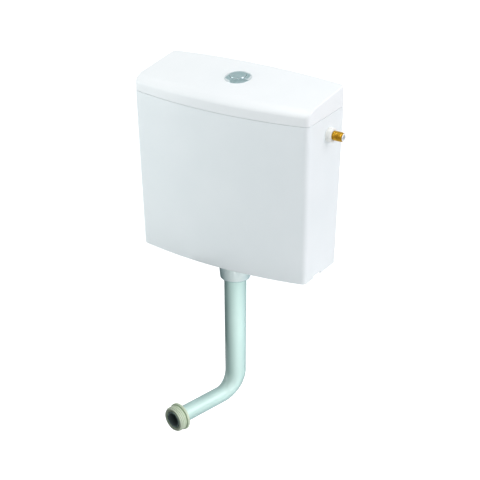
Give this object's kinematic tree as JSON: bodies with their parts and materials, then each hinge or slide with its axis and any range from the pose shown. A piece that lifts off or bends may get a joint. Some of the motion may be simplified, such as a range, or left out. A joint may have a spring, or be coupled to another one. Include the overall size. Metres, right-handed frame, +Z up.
{
  "type": "toilet cistern",
  "caption": "White low-level wall-hung toilet cistern with a push-button lid, side inlet and flush bend.",
  "frame": {"origin": "midway between the two wall fixing holes, on the wall plane", "axes": "+Z up, -Y out of the wall to the front, +X to the right as seen from the front"},
  "size_m": [0.4766, 0.2901, 0.8133],
  "materials": {
    "tank_plastic": "glossy white",
    "lid_plastic": "glossy white",
    "bright_chrome": "bright plated",
    "white_fitting": "satin white",
    "inner_plastic": "moulded",
    "steel": "drawn",
    "brass": "turned thread",
    "black_rubber": "moulded",
    "pipe_plastic": "satin pale green",
    "collar_rubber": "moulded grey green"
  },
  "bodies": {
    "tank_body": {"tank": "tank_plastic", "inlet_shank": "brass", "inlet_backnut": "white_fitting", "inlet_washer": "black_rubber", "inlet_filter": "inner_plastic", "fill_valve_body": "inner_plastic", "fill_valve_diaphragm": "black_rubber", "fill_valve_cap": "inner_plastic", "float_arm_pin": "steel", "silencer_tube": "inner_plastic", "flush_valve_base": "inner_plastic", "outlet_gasket": "black_rubber", "outlet_backnut": "white_fitting", "flush_valve_tower": "inner_plastic", "rocker_pins": "steel", "coupling_nut": "white_fitting", "coupling_seal": "black_rubber"},
    "lid_body": {"lid": "lid_plastic", "button_bezel": "bright_chrome", "bezel_locknut": "white_fitting", "full_button_spring": "steel", "half_button_spring": "steel"},
    "full_button": {"full_flush_button": "bright_chrome", "full_flush_rod": "inner_plastic"},
    "half_button": {"half_flush_button": "bright_chrome", "half_flush_rod": "inner_plastic"},
    "full_rocker": {"full_flush_rocker": "inner_plastic"},
    "half_rocker": {"half_flush_rocker": "inner_plastic"},
    "flush_valve": {"overflow_tube": "inner_plastic", "lift_rod": "inner_plastic", "flush_seal": "black_rubber", "seal_retainer": "inner_plastic"},
    "half_sleeve": {"half_flush_sleeve": "inner_plastic"},
    "float_lever": {"float_arm": "inner_plastic", "float_adjuster": "inner_plastic", "float": "inner_plastic"},
    "plunger": {"fill_valve_plunger": "inner_plastic"},
    "flush_bend": {"flush_pipe": "pipe_plastic", "pan_connector": "collar_rubber"}
  },
  "joints": [
    {"name": "lid_lift", "type": "slide", "parent": "tank_body", "child": "lid_body", "axis": [0, 0, 1], "range_m": [0, 0.15]},
    {"name": "full_flush_press", "type": "slide", "parent": "lid_body", "child": "full_button", "axis": [0, 0.1149, -0.9934], "range_m": [0, 0.008], "stiffness_N_per_m": 400, "springref_m": -0.005, "deforming": ["full_button_spring"]},
    {"name": "half_flush_press", "type": "slide", "parent": "lid_body", "child": "half_button", "axis": [0, 0.1149, -0.9934], "range_m": [0, 0.008], "stiffness_N_per_m": 400, "springref_m": -0.005, "deforming": ["half_button_spring"]},
    {"name": "full_rocker_tilt", "type": "hinge", "parent": "tank_body", "child": "full_rocker", "pos_m": [0.009, -0.08133, 0.012], "axis": [-1, 0, 0], "range_deg": [0, 30.2]},
    {"name": "half_rocker_tilt", "type": "hinge", "parent": "tank_body", "child": "half_rocker", "pos_m": [-0.009, -0.09441, 0.012], "axis": [-1, 0, 0], "range_deg": [0, 30.2]},
    {"name": "flush_valve_lift", "type": "slide", "parent": "tank_body", "child": "flush_valve", "axis": [0, 0, 1], "range_m": [0, 0.00805]},
    {"name": "half_sleeve_lift", "type": "slide", "parent": "flush_valve", "child": "half_sleeve", "axis": [0, 0, 1], "range_m": [0, 0.00805]},
    {"name": "float_swing", "type": "hinge", "parent": "tank_body", "child": "float_lever", "pos_m": [0.13759, -0.069, 0.007], "axis": [0, 1, 0], "range_deg": [0, 25]},
    {"name": "plunger_slide", "type": "slide", "parent": "tank_body", "child": "plunger", "axis": [1, 0, 0], "range_m": [0, 0.00425]},
    {"name": "flush_bend_swivel", "type": "hinge", "parent": "tank_body", "child": "flush_bend", "pos_m": [0, -0.094, -0.45], "axis": [0, 0, 1], "range_deg": [-45, 75]}
  ],
  "couplings": [
    {"joint": "full_rocker_tilt", "follows": "full_flush_press", "rad_per_m": 65.45},
    {"joint": "flush_valve_lift", "follows": "full_flush_press", "ratio": 1},
    {"joint": "half_rocker_tilt", "follows": "half_flush_press", "rad_per_m": 65.45},
    {"joint": "half_sleeve_lift", "follows": "half_flush_press", "ratio": 1},
    {"joint": "plunger_slide", "follows": "float_swing", "m_per_rad": 0.0096682}
  ]
}
